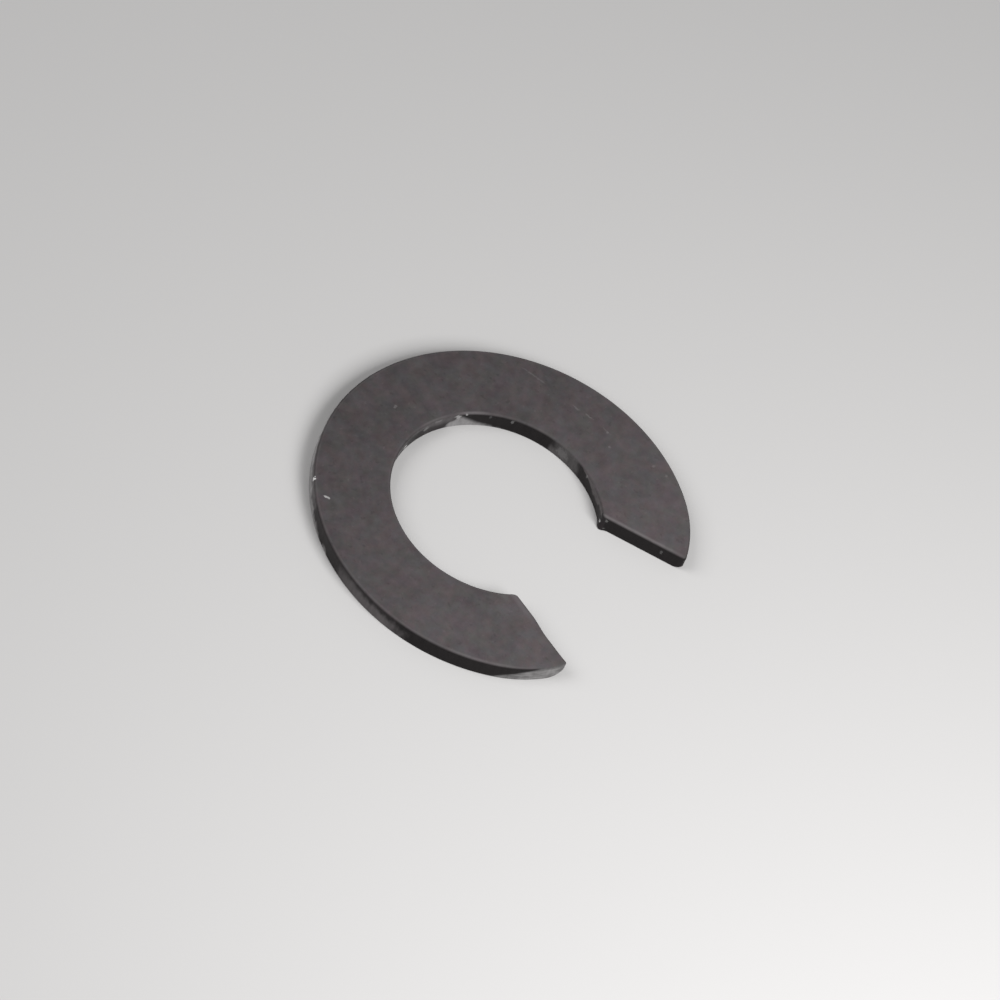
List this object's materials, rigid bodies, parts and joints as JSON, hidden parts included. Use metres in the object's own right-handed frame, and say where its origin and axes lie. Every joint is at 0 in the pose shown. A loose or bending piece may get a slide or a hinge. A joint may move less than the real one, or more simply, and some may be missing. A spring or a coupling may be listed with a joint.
{
  "type": "retaining ring",
  "caption": "Flat C-shaped retaining ring of blackened spring steel, pushed sideways through its flared mouth onto a shaft groove to hold parts along the shaft.",
  "frame": {"origin": "on the shaft axis (the centre of the bore), at the underside of the ring", "axes": "+Z along the shaft axis and square to the ring; the mouth opens towards -Y"},
  "size_m": [0.0222, 0.0202, 0.0011],
  "materials": {
    "blackened_steel": "matte black oxide"
  },
  "bodies": {
    "root": {"retaining_ring": "blackened_steel"}
  },
  "joints": []
}
